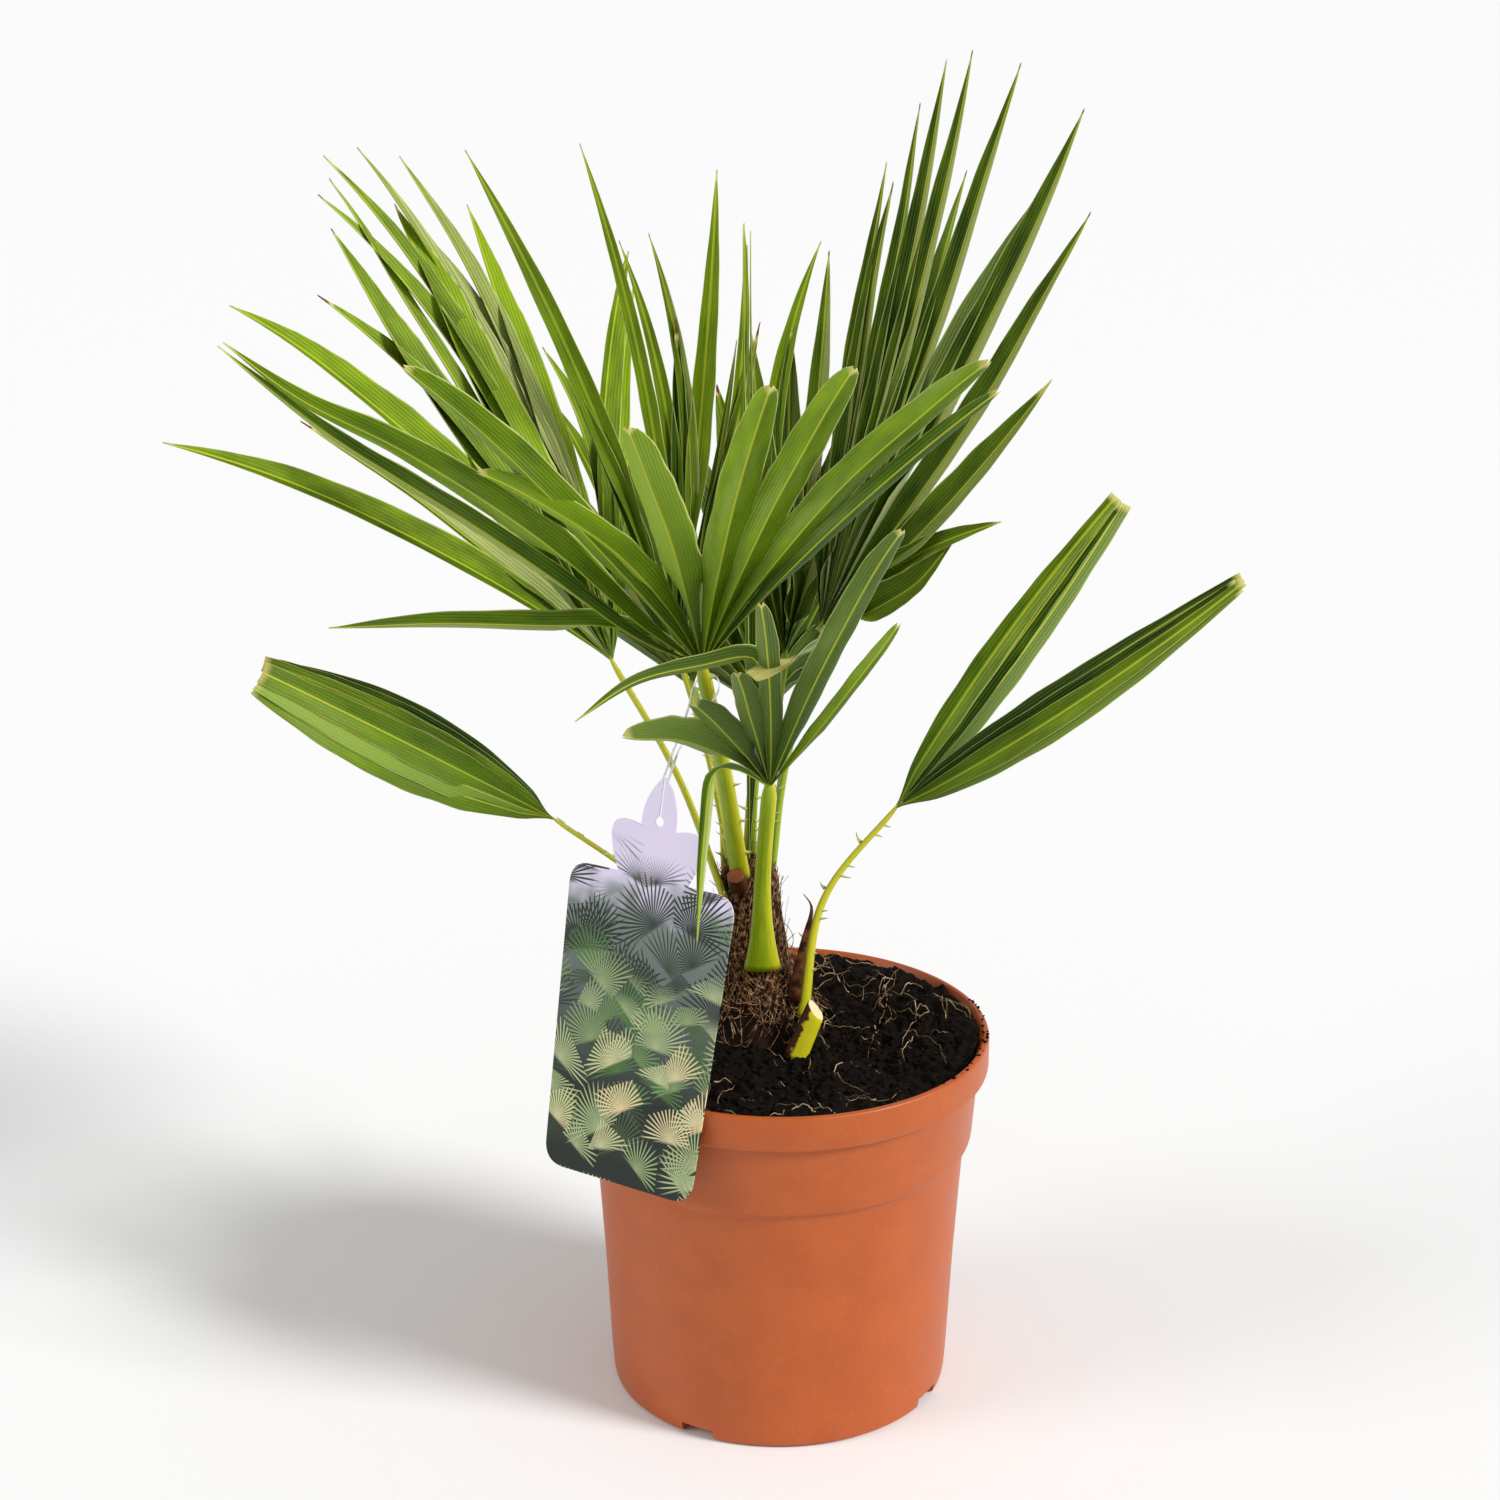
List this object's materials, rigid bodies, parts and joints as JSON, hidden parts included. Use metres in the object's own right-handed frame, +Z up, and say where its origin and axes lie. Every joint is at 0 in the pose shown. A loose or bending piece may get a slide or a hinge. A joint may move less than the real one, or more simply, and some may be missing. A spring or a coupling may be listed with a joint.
{
  "type": "european fan palm in a pot",
  "caption": "Young european fan palm: stiff pleated fan leaves on thorny stalks from a short fibrous trunk, in a round nursery pot with a hanging label.",
  "frame": {"origin": "centre of the pot's flat underside, on the pot's axis", "axes": "+Z up, -Y towards the side the picture shows, +X to that view's right"},
  "size_m": [0.4342, 0.3809, 0.5988],
  "materials": {
    "pot_plastic": "satin terracotta-coloured plastic with fine upright marks",
    "compost": "damp dark compost with tan roots",
    "fibre_trunk": "matted red-brown fibre",
    "stalk": "smooth yellow-green stalk with pale thorns",
    "leaf": "satin green leaf with pale ribs and margins",
    "dry_sheath": "dry brown fibre",
    "label_card": "printed plastic card, pale at the top"
  },
  "bodies": {
    "root": {"pot": "pot_plastic", "soil": "compost", "trunk": "fibre_trunk", "stalk_left": "stalk", "blade_left": "leaf", "stalk_front": "stalk", "blade_front": "leaf", "stalk_right": "stalk", "blade_right": "leaf", "stalk_low": "stalk", "blade_low": "leaf", "stalk_rear": "stalk", "blade_rear": "leaf", "stalk_upright": "stalk", "blade_upright": "leaf", "stalk_back": "stalk", "blade_back": "leaf", "stalk_back_left": "stalk", "blade_back_left": "leaf", "stalk_cut_right": "stalk", "blade_cut_right": "leaf", "stalk_cut_left": "stalk", "blade_cut_left": "leaf", "spear_leaf": "leaf", "cut_stump": "stalk", "leaf_scar": "dry_sheath", "dry_sheath": "dry_sheath", "hang_label": "label_card"}
  },
  "joints": []
}
